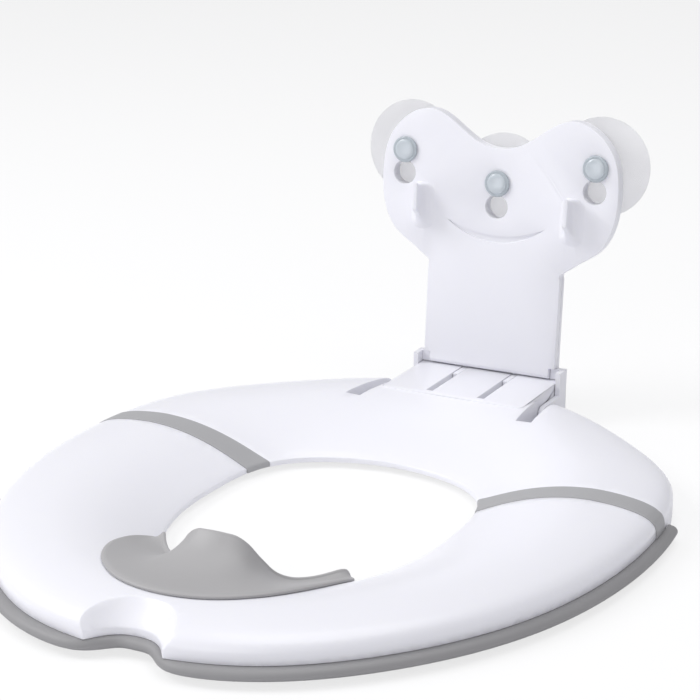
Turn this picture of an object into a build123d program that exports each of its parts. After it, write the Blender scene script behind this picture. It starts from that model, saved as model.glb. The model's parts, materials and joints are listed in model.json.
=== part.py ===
import os
from math import cos, radians, sin

from build123d import *

os.makedirs("parts", exist_ok=True)

# Folding potty training seat. +Z is up, the child faces -Y, X is the width.
# The seat lies on its grip pads at Z = 0, and the origin is under the middle of its box.
# Outlines are drawn from the fold line, which runs along X at Y = fold_y.

# Ring of the seat, measured from the fold line
half_width = 174.0
front_reach = 258.5
rear_reach = 157.0
opening_half_width = 74.5
opening_front = 173.5
opening_rear = 31.5

# Heights over the pads' feet
base_z = 3.5
inner_edge_z = 6.5
shoulder_z = 13.5
crown_z = 25.0

# Walls and general clearances
wall = 2.4
opening_rim = 8.6
tray_t = 3.0
fit = 0.2
part_gap = 0.3
butt_gap = 0.15
overrun = 5.0

# Platform in front of the board, with its slots
platform_half = 46.5
platform_front = 106.0
platform_rear = 174.0
platform_round = 4.0
platform_rise = 0.15
slot_x = 17.0
slot_w = 4.2
slot_front = 113.5
gap_w = 9.5
gap_front = 87.0
gap_bend = 134.0
gap_flare = 5.0

# Fold in the middle
barrel_r = 3.2
fold_pin_r = 1.5
pin_clearance = 0.05
knuckle_count = 5
knuckle_len = 13.6
knuckle_gap = 0.4
knuckle_first_x = 90.0
knuckle_web = 7.0

# Grey strips, lip and finger notch
strip_w = 16.0
strip_rise = 0.5
strip_depth = 1.6
lip_w = 6.5
lip_h = 5.8
lip_past_fold = 10.0
notch_depth = 17.5
notch_half = 26.0
notch_step = 2.5
notch_bevel = 8.0

# Upright board
board_y = 163.8
board_lean = 4.1
board_front_t = 5.0
board_back_t = 3.0
board_plate_t = 2.4
board_rim_t = 2.2
board_round = 3.6
board_height = 162.5
head_half = 78.6
neck_half = 44.5
neck_height = 67.5
neck_turn = 3.5
board_foot_gap = 0.3

# Keyholes and suction cups
knob_x = 63.5
knob_side_s = 135.3
knob_middle_s = 119.9
knob_travel = 14.5
knob_r = 8.2
knob_dome = 2.8
knob_hole_r = 7.5
neck_r = 3.2
neck_slot_w = 7.0
keyhole_collar = 2.0
cup_r = 30.3
cup_depth = 3.2

# Fins and groove on the board's front
fin_x = 50.0
fin_s = 101.0
fin_out = 13.0
fin_base_w = 19.0
fin_base_h = 30.0
fin_tip_w = 2.8
fin_tip_h = 18.0
fin_tip_rise = 7.5
groove_half = 32.0
groove_s = 94.0
groove_top_drop = 7.0
groove_drop = 11.0
groove_depth = 1.2

# Board hinge
hinge_y = 138.0
hinge_z = 12.2
board_pin_r = 2.2
hub_r = 5.2
inner_arm_t = 3.2
inner_arm_front = 152.0
outer_arm_t = 3.0
outer_arm_front = 160.5
arm_side_gap = 0.5
foot_h = 7.0
foot_notch_w = 4.0
foot_notch_h = 7.0
foot_depth = 3.5
leg_depth = 3.5

# Screws and pads
screw_head_r = 2.8
screw_head_h = 1.8
screw_r = 1.4
screw_len = 11.0
boss_r = 3.6
board_screw_r = 1.2
board_screw_head_r = 2.3
board_screw_head_h = 1.3
board_boss_r = 3.0
pad_len = 34.0
pad_w = 11.0
pad_round = 5.0
pad_sink = 1.0

# Splash guard
guard_t = 2.2
guard_peak_z = 36.6
guard_foot_z = 4.5
guard_flange = 53.0

# Stations round the ring from the rear centre to the front centre: x and y of the
# outline as shares of the half width and of the reach, then x and y of the opening.
station_shares = [
    (0.0, 1.0, 0.0, 1.0),
    (0.368, 0.892, 0.443, 0.81),
    (0.684, 0.631, 0.779, 0.317),
    (0.92, 0.318, 0.94, -0.058),
    (1.0, -0.046, 0.997, -0.242),
    (0.989, -0.268, 0.993, -0.438),
    (0.882, -0.547, 0.879, -0.657),
    (0.638, -0.801, 0.617, -0.856),
    (0.322, -0.96, 0.302, -0.968),
    (0.0, -1.0, 0.0, -1.0),
]
# Crown of the seat: place across the ring, and the rise there as a share of the whole rise
dish_shares = [(0.0, 0.0), (0.16, 0.42), (0.31, 0.72), (0.47, 0.92), (0.63, 1.0)]
crown_shares = [(1.0, 0.0), (0.978, 0.4), (0.93, 0.65), (0.86, 0.82), (0.79, 0.915), (0.71, 0.975), (0.63, 1.0)]
# Lip's bulge: height up the lip, and how far out as a share of its width
bulge_shares = [(0.0, 0.5), (0.25, 0.92), (0.5, 1.0), (0.75, 0.9), (1.0, 0.4)]
# Finger notch from its middle outwards: x as a share of half the notch, y of its depth
notch_shares = [(0.0, 0.0), (0.32, 0.08), (0.62, 0.42), (0.88, 0.9), (1.2, 1.12)]
# Head of the board, from the neck to the valley: shares of the head's half and the height
head_shares = [
    (0.675, 0.454),
    (0.851, 0.512),
    (0.972, 0.615),
    (1.0, 0.745),
    (0.959, 0.868),
    (0.847, 0.948),
    (0.599, 1.0),
    (0.357, 0.945),
    (0.178, 0.89),
    (0.0, 0.871),
]
neck_turn_share = 0.45
# Fin from its root outwards: how far out, then what is left of the flare of width and height
fin_shares = [(0.0, 1.0, 1.0), (0.1, 0.55, 0.85), (0.28, 0.24, 0.6), (0.6, 0.06, 0.2), (1.0, 0.0, 0.0)]
fin_round_share = 0.42
# Cup's round head from its tip, and the two faces of its bell: radius, then depth
knob_shares = [(0.0, 1.0), (0.27, 0.97), (0.54, 0.87), (0.78, 0.68), (0.94, 0.4), (1.0, 0.1)]
bell_front_shares = [(0.31, 0.23), (0.72, 0.4), (1.0, 1.0)]
bell_back_shares = [(0.955, 1.0), (0.6, 0.62), (0.0, 0.46)]
# Guard: place in the list of stations, then the width of its flange and the height of its
# wavy edge, as shares of the greatest, from a tip to the middle.
guard_shares = [
    (6.5, 0.12, 0.345),
    (7.0, 0.45, 0.35),
    (7.5, 0.72, 0.375),
    (8.0, 0.9, 0.72),
    (8.4, 0.97, 0.95),
    (9.0, 1.0, 1.0),
]
guard_sag_share = 0.15

lip_top_z = base_z + lip_h
tray_top_z = base_z + tray_t
fold_z = base_z
board_t = board_front_t + board_back_t
cup_back = board_t + part_gap + cup_depth
cup_top_s = knob_side_s + cup_r
rear_extent = board_y + cup_back * cos(radians(board_lean)) + cup_top_s * sin(radians(board_lean))
fold_y = (front_reach + lip_w - rear_extent) / 2
limb_reach = max(front_reach, rear_reach, half_width) + 4 * overrun


def level(z, y=0.0):
    """Horizontal sketch plane at height z, with its origin y behind the fold line."""
    return Plane((0, fold_y + y, z))


def behind(y):
    """Upright plane across the seat at y, facing the rear."""
    return Plane(level(0, y).origin, z_dir=(0, 1, 0))


def ahead(y):
    """Upright plane across the seat at y, facing the front."""
    return Plane(level(0, y).origin, z_dir=(0, -1, 0))


def ring_points(share, inset=0.0):
    """Points of a loop round the seat, from the opening (0) to the outline (1)."""
    points = []
    for out_x, out_y, in_x, in_y in station_shares:
        outer = Vector(out_x * half_width, out_y * (rear_reach if out_y > 0 else front_reach))
        inner = Vector(in_x * opening_half_width, in_y * (opening_rear if in_y > 0 else opening_front))
        across = outer - inner
        distance = inset + share * (across.length - 2 * inset)
        points.append(inner + across.normalized() * distance)
    return points


def ring_face(z, share, inset=0.0):
    """Closed smooth face round the seat at height z."""
    right = ring_points(share, inset)
    left = [Vector(-point.X, point.Y) for point in right[-2:0:-1]]
    with BuildSketch(level(z)) as sketch:
        with BuildLine():
            Spline(*right, *left, periodic=True)
        make_face()
    return sketch.sketch


def dish_height(share):
    """Height of the seat's surface at a share of the way from the opening to the outline."""
    for (near, near_rise), (far, far_rise) in zip(dish_shares, dish_shares[1:]):
        if share <= far:
            rise = near_rise + (share - near) / (far - near) * (far_rise - near_rise)
            return inner_edge_z + rise * (crown_z - inner_edge_z)
    return crown_z


def ring_levels(shares, low, high, inset):
    """Faces round the seat, stacked from low to high."""
    return [ring_face(low + rise * (high - low), share, inset) for share, rise in shares]


def seat_body(lift=0.0, inset=0.0, floor=base_z):
    """Solid crowned ring with its opening, raised by lift and drawn in by inset."""
    with BuildPart() as body:
        extrude(ring_face(floor, 1, inset), amount=shoulder_z + lift - floor)
        loft(ring_levels(crown_shares, shoulder_z + lift, crown_z + lift, inset))
        loft(ring_levels(dish_shares, inner_edge_z + lift, crown_z + lift, inset), mode=Mode.SUBTRACT)
        opening_h = inner_edge_z + lift - floor + 2 * overrun
        extrude(ring_face(floor - overrun, 0, inset), amount=opening_h, mode=Mode.SUBTRACT)
    return body.part


def block(x0, x1, y0, y1, z0, z1):
    """Plain box between two corners, with y measured from the fold line."""
    with BuildPart(level(z0)) as body:
        with Locations(((x0 + x1) / 2, (y0 + y1) / 2)):
            Box(x1 - x0, y1 - y0, z1 - z0, align=(Align.CENTER, Align.CENTER, Align.MIN))
    return body.part


def half_block(side, near, far, y0, y1, z0, z1):
    """Box between two distances from the middle on one side of the seat."""
    low, high = sorted((side * near, side * far))
    return block(low, high, y0, y1, z0, z1)


def posts(places, radius, z0, z1):
    """Upright round posts at places measured from the fold line."""
    with BuildPart(level(z0)) as body:
        with Locations(*places):
            Cylinder(radius, z1 - z0, align=(Align.CENTER, Align.CENTER, Align.MIN))
    return body.part


def rod_x(y, z, radius, x0, x1):
    """Round rod along X."""
    with BuildPart(Plane((x0, fold_y + y, z), x_dir=(0, 1, 0), z_dir=(1, 0, 0))) as body:
        Cylinder(radius, x1 - x0, align=(Align.CENTER, Align.CENTER, Align.MIN))
    return body.part


def notch_face(z, depth_cut, widen=0.0):
    """Outline of the finger notch at a height, depth_cut deeper than the lip's own notch."""
    deepest = notch_depth - front_reach - lip_w + depth_cut
    right = [(x * (notch_half + widen), deepest - y * (notch_depth + widen)) for x, y in notch_shares]
    left = [(-x, y) for x, y in right[:0:-1]]
    end_x, end_y = right[-1]
    far_y = end_y - 4 * overrun
    with BuildSketch(level(z)) as sketch:
        with BuildLine():
            Spline(*left, *right)
            Polyline((end_x, end_y), (end_x, far_y), (-end_x, far_y), (-end_x, end_y))
        make_face()
    return sketch.sketch


def notch_tool(depth_cut):
    """Upright cutter of the finger notch."""
    return extrude(notch_face(-overrun, depth_cut), amount=crown_z + 2 * overrun, mode=Mode.PRIVATE)


def bevel_tool(drop, depth_cut):
    """Cutter that leans back above the finger notch, lowered by drop."""
    foot = notch_face(shoulder_z - drop, depth_cut)
    top = notch_face(crown_z + overrun - drop, depth_cut + 2 * notch_bevel, 2 * notch_bevel)
    return loft([foot, top], ruled=True, mode=Mode.PRIVATE)


def gap_body(side, grow, top):
    """Gap beside the platform, drawn larger all round by grow; it flares towards the front."""
    near = platform_half - grow
    far = platform_half + gap_w + grow
    front = gap_front - grow
    rear = platform_rear + overrun
    points = [(near, rear), (near, gap_bend), (near + gap_flare, front),
              (far + gap_flare, front), (far, gap_bend), (far, rear)]
    with BuildPart() as body:
        with BuildSketch(level(tray_top_z)):
            with BuildLine():
                Polyline(*[(side * x, y) for x, y in points], close=True)
            make_face()
        extrude(amount=top - tray_top_z)
    return body.part


tray_inset = wall + fit
pin_end = platform_half + gap_w + wall - fit
slot_walls = slot_w / 2 + wall
rear_bosses = [(-105.0, 66.0), (105.0, 66.0), (-34.0, 84.0), (34.0, 84.0)]
front_bosses = [(-126.0, -96.0), (126.0, -96.0), (-62.0, -208.0), (62.0, -208.0)]
boss_top_z = tray_top_z + screw_len - screw_head_h
knuckle_pitch = knuckle_len + knuckle_gap
knuckle_last_x = knuckle_first_x + knuckle_count * knuckle_pitch - knuckle_gap
relief_r = barrel_r + 2 * part_gap
cover_notch = 2 * notch_step

# Shared bodies: the whole ring, its hollow and the room round the fold's barrels
whole_ring = seat_body()
rim_solid = extrude(ring_face(base_z - 2 * overrun, 0, opening_rim), amount=crown_z + 2 * overrun)
ring_hollow = seat_body(-wall, wall, floor=base_z - overrun) - rim_solid
reliefs = [
    rod_x(0, fold_z, relief_r, knuckle_first_x - 2 * knuckle_gap, knuckle_last_x + 2 * knuckle_gap),
    rod_x(0, fold_z, relief_r, -knuckle_last_x - 2 * knuckle_gap, -knuckle_first_x + 2 * knuckle_gap),
]

with BuildPart() as tray_room:
    extrude(ring_face(base_z - overrun, 1, wall), amount=tray_t + overrun)
    add(rim_solid, mode=Mode.SUBTRACT)

# Rear cover: crowned shell with the platform, the slots and the walls that hold the pin
with BuildPart() as rear_hollow:
    add(ring_hollow)
    with BuildSketch(level(base_z - overrun)):
        with Locations((0, (platform_front + platform_rear) / 2)):
            Rectangle(2 * (platform_half - wall), platform_rear - platform_front - 2 * wall)
    extrude(amount=crown_z - wall - base_z + overrun)
    split(bisect_by=behind(wall + butt_gap))
    for side in (-1, 1):
        add(half_block(side, slot_x - slot_walls, slot_x + slot_walls,
                       slot_front - wall, platform_rear, tray_top_z, crown_z), mode=Mode.SUBTRACT)
        add(gap_body(side, wall, crown_z), mode=Mode.SUBTRACT)
    add(posts(rear_bosses, boss_r, tray_top_z, crown_z), mode=Mode.SUBTRACT)

with BuildPart() as rear_cover:
    add(whole_ring)
    with BuildSketch(level(base_z)):
        with Locations((0, (platform_front + platform_rear) / 2)):
            RectangleRounded(2 * platform_half, platform_rear - platform_front, platform_round)
    extrude(amount=crown_z + platform_rise - base_z)
    split(bisect_by=behind(butt_gap))
    add(rear_hollow.part, mode=Mode.SUBTRACT)
    add(tray_room.part, mode=Mode.SUBTRACT)
    for side in (-1, 1):
        add(half_block(side, slot_x - slot_w / 2, slot_x + slot_w / 2,
                       slot_front, platform_rear + overrun, tray_top_z, crown_z + overrun), mode=Mode.SUBTRACT)
        add(gap_body(side, 0, crown_z + overrun), mode=Mode.SUBTRACT)
    add(rod_x(hinge_y, hinge_z, board_pin_r + pin_clearance, -pin_end, pin_end), mode=Mode.SUBTRACT)
    add(posts(rear_bosses, screw_r + pin_clearance, base_z, boss_top_z), mode=Mode.SUBTRACT)
    for relief in reliefs:
        add(relief, mode=Mode.SUBTRACT)
rear_cover.part.label = "rear_cover"
export_step(rear_cover.part, "parts/rear_cover.step")

# Front cover: crowned shell with the finger notch, and a rebate under each strip
strip_zone = -(strip_w + wall)
strip_slab = block(-limb_reach, limb_reach, -(strip_w + butt_gap), overrun, -overrun, crown_z + overrun)
strip_bed = seat_body(-strip_depth, strip_depth, floor=base_z - overrun)
with BuildPart() as front_hollow:
    add(ring_hollow)
    split(bisect_by=ahead(strip_zone))
    add(posts(front_bosses, boss_r, tray_top_z, crown_z), mode=Mode.SUBTRACT)
    add(notch_tool(cover_notch + wall), mode=Mode.SUBTRACT)
    add(bevel_tool(wall, cover_notch + wall), mode=Mode.SUBTRACT)

with BuildPart() as strip_hollow:
    add(seat_body(-wall - strip_depth, wall + strip_depth, floor=base_z - overrun))
    add(rim_solid, mode=Mode.SUBTRACT)
    split(bisect_by=ahead(-wall - butt_gap))
    split(bisect_by=behind(strip_zone))

with BuildPart() as rebate:
    add(whole_ring)
    add(strip_bed, mode=Mode.SUBTRACT)
    add(strip_slab, mode=Mode.INTERSECT)

with BuildPart() as lip_room:
    extrude(ring_face(base_z - overrun, 1, -lip_w), amount=lip_h + overrun)
    extrude(ring_face(base_z - overrun, 1, tray_inset), amount=lip_h + overrun, mode=Mode.SUBTRACT)

with BuildPart() as lining_room:
    add(notch_tool(cover_notch + wall))
    split(bisect_by=level(lip_top_z), keep=Keep.BOTTOM)

with BuildPart() as front_tray_room:
    add(tray_room.part)
    add(notch_tool(cover_notch + wall), mode=Mode.SUBTRACT)

with BuildPart() as front_cover:
    add(whole_ring)
    split(bisect_by=ahead(-butt_gap))
    add(front_tray_room.part, mode=Mode.SUBTRACT)
    add(front_hollow.part, mode=Mode.SUBTRACT)
    add(strip_hollow.part, mode=Mode.SUBTRACT)
    add(rebate.part, mode=Mode.SUBTRACT)
    add(lip_room.part, mode=Mode.SUBTRACT)
    add(lining_room.part, mode=Mode.SUBTRACT)
    add(notch_tool(cover_notch), mode=Mode.SUBTRACT)
    add(bevel_tool(0, cover_notch), mode=Mode.SUBTRACT)
    add(posts(front_bosses, screw_r + pin_clearance, base_z, boss_top_z), mode=Mode.SUBTRACT)
    for relief in reliefs:
        add(relief, mode=Mode.SUBTRACT)
front_cover.part.label = "front_cover"
export_step(front_cover.part, "parts/front_cover.step")

# Seam strips: soft straps that hug both limbs of the front half along the fold
raised_ring = seat_body(strip_rise, -strip_rise, floor=base_z + strip_rise)
for side, name in ((-1, "left"), (1, "right")):
    with BuildPart() as strip:
        add(raised_ring)
        add(strip_bed, mode=Mode.SUBTRACT)
        strip_front = -(strip_w + butt_gap) + pin_clearance
        add(half_block(side, 0, limb_reach, strip_front, -butt_gap,
                       base_z, crown_z + overrun), mode=Mode.INTERSECT)
        add(half_block(side, half_width - 2 * lip_w, limb_reach, -strip_w - overrun, overrun,
                       base_z - overrun, lip_top_z + pin_clearance), mode=Mode.SUBTRACT)
    strip.part.label = f"seam_strip_{name}"
    export_step(strip.part, f"parts/seam_strip_{name}.step")

# Front lip: bulging grey edge under the front cover, past the fold by a short round end
with BuildPart() as lip_ring:
    loft([ring_face(base_z + rise * lip_h, 1, -out * lip_w) for rise, out in bulge_shares])
    extrude(ring_face(base_z - overrun, 1, tray_inset), amount=lip_h + 2 * overrun, mode=Mode.SUBTRACT)

with BuildPart() as lip_ends:
    add(lip_ring.part)
    end_x = half_width + fit + part_gap
    add(block(-end_x, end_x, -limb_reach, limb_reach, -overrun, crown_z), mode=Mode.SUBTRACT)
    split(bisect_by=ahead(lip_past_fold))
    split(bisect_by=behind(-strip_w))

with BuildPart() as notch_lining:
    add(notch_tool(cover_notch + wall - fit))
    add(extrude(ring_face(base_z, 1), amount=lip_h, mode=Mode.PRIVATE), mode=Mode.INTERSECT)

with BuildPart() as front_lip:
    add(lip_ring.part)
    split(bisect_by=ahead(-butt_gap))
    add(lip_ends.part)
    add(notch_lining.part)
    add(notch_tool(0), mode=Mode.SUBTRACT)
front_lip.part.label = "front_lip"
export_step(front_lip.part, "parts/front_lip.step")


def knuckle_spans(first):
    """Spans along X of every second knuckle, from the first or the second on."""
    spans = []
    for index in range(first, knuckle_count, 2):
        start = knuckle_first_x + index * knuckle_pitch
        spans.append((start, start + knuckle_len))
    return spans


def tray(facing, inset_face, first, bosses):
    """Flat tray of one half with its knuckles; facing is 1 for the rear half, -1 for the front."""
    with BuildPart() as body:
        extrude(ring_face(base_z, 1, tray_inset), amount=tray_t)
        if inset_face:
            add(block(-platform_half + tray_inset, platform_half - tray_inset,
                      platform_front, platform_rear - tray_inset, base_z, tray_top_z))
        tray_edge = ring_face(base_z - overrun, 0, opening_rim + fit)
        extrude(tray_edge, amount=tray_t + 2 * overrun, mode=Mode.SUBTRACT)
        split(bisect_by=behind(butt_gap) if facing > 0 else ahead(-butt_gap))
        for side in (-1, 1):
            add(half_block(side, knuckle_first_x - 2 * knuckle_gap, knuckle_last_x + 2 * knuckle_gap,
                           -relief_r, relief_r, base_z - overrun, tray_top_z + overrun), mode=Mode.SUBTRACT)
            for start, end in knuckle_spans(first):
                y0, y1 = sorted((0, facing * knuckle_web))
                low, high = sorted((side * start, side * end))
                add(block(low, high, y0, y1, base_z, tray_top_z))
                add(rod_x(0, fold_z, barrel_r, low, high))
            hole_ends = sorted((side * (knuckle_first_x - overrun), side * (knuckle_last_x + overrun)))
            add(rod_x(0, fold_z, fold_pin_r + pin_clearance, *hole_ends), mode=Mode.SUBTRACT)
        add(posts(bosses, screw_r + pin_clearance, base_z - overrun, tray_top_z + overrun), mode=Mode.SUBTRACT)
        add(posts(bosses, screw_head_r + fit, base_z - overrun, base_z + screw_head_h), mode=Mode.SUBTRACT)
    return body.part


with BuildPart() as rear_base:
    add(tray(1, True, 0, rear_bosses))
rear_base.part.label = "rear_base"
export_step(rear_base.part, "parts/rear_base.step")

with BuildPart() as front_base:
    add(tray(-1, False, 1, front_bosses))
    add(notch_tool(cover_notch + wall + fit), mode=Mode.SUBTRACT)
front_base.part.label = "front_base"
export_step(front_base.part, "parts/front_base.step")

# Fold pins, one through the knuckles of each limb
for side, name in ((-1, "left"), (1, "right")):
    pin_span = sorted((side * knuckle_first_x, side * knuckle_last_x))
    with BuildPart() as fold_pin:
        add(rod_x(0, fold_z, fold_pin_r, *pin_span))
    fold_pin.part.label = f"fold_pin_{name}"
    export_step(fold_pin.part, f"parts/fold_pin_{name}.step")

# Tray screws: flat heads sunk in the trays, shanks up in the covers' bosses
for half, places in (("rear", rear_bosses), ("front", front_bosses)):
    for number, place in enumerate(places, start=1):
        with BuildPart() as screw:
            add(posts([place], screw_head_r, base_z, base_z + screw_head_h))
            add(posts([place], screw_r, base_z, boss_top_z - part_gap))
        screw.part.label = f"{half}_screw_{number}"
        export_step(screw.part, f"parts/{half}_screw_{number}.step")

# Grip pads: soft rounded bars under the trays, clear of the screws and the fold
pad_places = {
    "pad_rear_left": (-122.0, 60.0, 62.0),
    "pad_rear_right": (122.0, 60.0, -62.0),
    "pad_rear_middle": (0.0, 84.0, 0.0),
    "pad_side_left": (-124.0, -135.0, 108.0),
    "pad_side_right": (124.0, -135.0, 72.0),
    "pad_front_left": (-84.0, -192.0, 137.0),
    "pad_front_right": (84.0, -192.0, 43.0),
}
for name, (x, y, angle) in pad_places.items():
    with BuildPart() as pad:
        with BuildSketch(level(0)):
            with Locations((x, y)):
                RectangleRounded(pad_len, pad_w, pad_round, rotation=angle)
        extrude(amount=base_z)
        fillet(pad.faces().sort_by(Axis.Z)[0].edges(), pad_sink)
    pad.part.label = name
    export_step(pad.part, f"parts/{name}.step")

# Board: planes that lean back with it; s runs up its front face from the platform
board_up = Vector(0, sin(radians(board_lean)), cos(radians(board_lean)))
board_back = Vector(0, cos(radians(board_lean)), -sin(radians(board_lean)))
board_foot = Vector(0, fold_y + board_y, crown_z)
board_foot_s = board_foot_gap + board_t * sin(radians(board_lean))
board_x_dir = Vector(1, 0, 0)


def board_level(depth):
    """Sketch plane parallel to the board's front face, depth behind it."""
    return Plane(board_foot + board_back * depth, x_dir=board_x_dir, z_dir=board_back * -1)


def board_face(depth, inset=0.0):
    """Outline of the board at a depth, drawn in by inset."""
    head = [Vector(x * head_half, s * board_height) for x, s in head_shares]
    neck = Vector(neck_half, neck_height)
    points = [neck - Vector(0, neck_turn), neck, neck + (head[0] - neck) * neck_turn_share, *head]
    along = [(after - before).normalized() for before, after in zip(points, points[2:])]
    along = [Vector(0, 1), *along, Vector(-1, 0)]
    right = [point + Vector(-way.Y, way.X) * inset for point, way in zip(points, along)]
    left = [Vector(-point.X, point.Y) for point in right[-2::-1]]
    foot_s = board_foot_s + inset
    with BuildSketch(board_level(depth)) as sketch:
        with BuildLine():
            Spline(*right, *left)
            Polyline(left[-1], (left[-1].X, foot_s), (right[0].X, foot_s), right[0])
        make_face()
    return sketch.sketch


def foot_notches(depth, grow=0.0):
    """Corners cut off the board's foot, where the outer arms join it, larger by grow."""
    low = board_foot_s - overrun
    high = board_foot_s + foot_notch_h + grow
    with BuildSketch(board_level(depth)) as sketch:
        for side in (-1, 1):
            near = neck_half - foot_notch_w - grow
            with Locations((side * (near + neck_half + overrun) / 2, (low + high) / 2)):
                Rectangle(neck_half + overrun - near, high - low)
    return sketch.sketch


def board_discs(places, radius, depth):
    """Round faces on the board at places given as x and s."""
    with BuildSketch(board_level(depth)) as sketch:
        with Locations(*places):
            Circle(radius)
    return sketch.sketch


knob_places = {
    "left": (-knob_x, knob_side_s),
    "middle": (0.0, knob_middle_s),
    "right": (knob_x, knob_side_s),
}
board_bosses = [(-28.0, 16.0), (28.0, 16.0), (-28.0, 100.0), (28.0, 100.0)]


def keyholes(depth, grow=0.0):
    """Keyhole outlines: a narrow slot above with a wide round hole below."""
    with BuildSketch(board_level(depth)) as sketch:
        for x, s in knob_places.values():
            with Locations((x, s - knob_travel)):
                Circle(knob_hole_r + grow)
            with Locations((x, s - knob_travel / 2)):
                Rectangle(neck_slot_w + 2 * grow, knob_travel)
            with Locations((x, s)):
                Circle(neck_slot_w / 2 + grow)
    return sketch.sketch


# Board front: shell with keyholes, a plain curved groove and two fins
with BuildPart() as board_hollow:
    extrude(board_face(board_front_t, board_rim_t), amount=board_front_t - board_plate_t)
    extrude(keyholes(board_front_t, keyhole_collar), amount=board_front_t, mode=Mode.SUBTRACT)
    extrude(board_discs(board_bosses, board_boss_r, board_front_t), amount=board_front_t, mode=Mode.SUBTRACT)
    extrude(foot_notches(board_front_t, board_rim_t), amount=board_front_t, mode=Mode.SUBTRACT)

with BuildPart() as board_front:
    extrude(board_face(board_front_t), amount=board_front_t)
    front_edges = board_front.faces().sort_by(Axis.Y)[0].edges().sort_by(Axis.Z)[1:]
    fillet(front_edges, board_round)
    extrude(foot_notches(board_t), amount=board_t + overrun, mode=Mode.SUBTRACT)
    add(board_hollow.part, mode=Mode.SUBTRACT)
    for side in (-1, 1):
        fin_faces = []
        for out, wide, tall in fin_shares:
            width = fin_tip_w + wide * (fin_base_w - fin_tip_w)
            height = fin_tip_h + tall * (fin_base_h - fin_tip_h)
            with BuildSketch(board_level(part_gap - out * (fin_out + part_gap))) as fin_sketch:
                with Locations((side * fin_x, fin_s + out * fin_tip_rise)):
                    RectangleRounded(width, height, width * fin_round_share)
            fin_faces.append(fin_sketch.sketch)
        loft(fin_faces)
    with BuildSketch(board_level(0)) as groove:
        with BuildLine():
            ThreePointArc((-groove_half, groove_s), (0, groove_s - groove_top_drop), (groove_half, groove_s))
            ThreePointArc((groove_half, groove_s), (0, groove_s - groove_drop), (-groove_half, groove_s))
        make_face()
    extrude(groove.sketch, amount=-groove_depth, mode=Mode.SUBTRACT)
    extrude(keyholes(board_t), amount=board_t + overrun, mode=Mode.SUBTRACT)
    extrude(board_discs(board_bosses, board_screw_r + pin_clearance, board_front_t),
            amount=board_front_t - board_plate_t, mode=Mode.SUBTRACT)
board_front.part.label = "board_front"
export_step(board_front.part, "parts/board_front.step")


def arm_face(x, front_y, top):
    """Side outline of a hinge arm at x: hub on the pin, bar to the rear, then up behind the board."""
    rear_y = board_y + board_t - part_gap
    low = hinge_z - hub_r
    with BuildSketch(Plane((x, fold_y, 0), x_dir=(0, 1, 0), z_dir=(1, 0, 0))) as sketch:
        with Locations((hinge_y, hinge_z)):
            Circle(hub_r)
        with BuildLine():
            Polyline((hinge_y, low), (rear_y, low), (rear_y, top), (front_y, top),
                     (front_y, hinge_z + hub_r), (hinge_y, hinge_z + hub_r), close=True)
        make_face()
    return sketch.sketch


# Board back: cover plate with two arms in the slots, and two in the gaps that join its corners
outer_arm_near = platform_half + arm_side_gap
outer_arm_far = outer_arm_near + outer_arm_t
arms = [
    (slot_x - inner_arm_t / 2, slot_x + inner_arm_t / 2, inner_arm_front, crown_z - part_gap, leg_depth),
    (outer_arm_near, outer_arm_far, outer_arm_front, crown_z + foot_h, foot_h),
]
with BuildPart() as board_back_cover:
    extrude(board_face(board_t), amount=board_back_t)
    for side in (-1, 1):
        for near, far, arm_front, arm_top, leg_top in arms:
            low, high = sorted((side * near, side * far))
            extrude(arm_face(low, arm_front, arm_top), amount=high - low)
            with BuildSketch(board_level(board_t)) as leg:
                with Locations(((low + high) / 2, (leg_top - leg_depth) / 2)):
                    Rectangle(high - low, leg_top + leg_depth)
            extrude(leg.sketch, amount=board_back_t)
        foot_near = neck_half - foot_notch_w + part_gap
        join_h = foot_notch_h - part_gap
        with BuildSketch(board_level(board_t)) as foot:
            with Locations((side * (foot_near + outer_arm_far) / 2, board_foot_s + join_h / 2)):
                Rectangle(outer_arm_far - foot_near, join_h)
        extrude(foot.sketch, amount=board_t - foot_depth)
    extrude(keyholes(board_t + overrun), amount=board_t + 2 * overrun, mode=Mode.SUBTRACT)
    extrude(board_discs(board_bosses, board_screw_r + pin_clearance, board_t + overrun),
            amount=board_t + overrun, mode=Mode.SUBTRACT)
    extrude(board_discs(board_bosses, board_screw_head_r + fit, board_t + overrun),
            amount=overrun + board_screw_head_h, mode=Mode.SUBTRACT)
    add(rod_x(hinge_y, hinge_z, board_pin_r + pin_clearance, -limb_reach, limb_reach), mode=Mode.SUBTRACT)
board_back_cover.part.label = "board_back"
export_step(board_back_cover.part, "parts/board_back.step")

with BuildPart() as board_pin:
    add(rod_x(hinge_y, hinge_z, board_pin_r, -pin_end + fit, pin_end - fit))
board_pin.part.label = "board_pin"
export_step(board_pin.part, "parts/board_pin.step")

# Board screws: heads sunk in the back cover, shanks in the front shell's bosses
for number, place in enumerate(board_bosses, start=1):
    with BuildPart() as board_screw:
        extrude(board_discs([place], board_screw_head_r, board_t), amount=board_screw_head_h)
        extrude(board_discs([place], board_screw_r, board_t), amount=board_t - board_plate_t - part_gap)
    board_screw.part.label = f"board_screw_{number}"
    export_step(board_screw.part, f"parts/board_screw_{number}.step")

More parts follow.
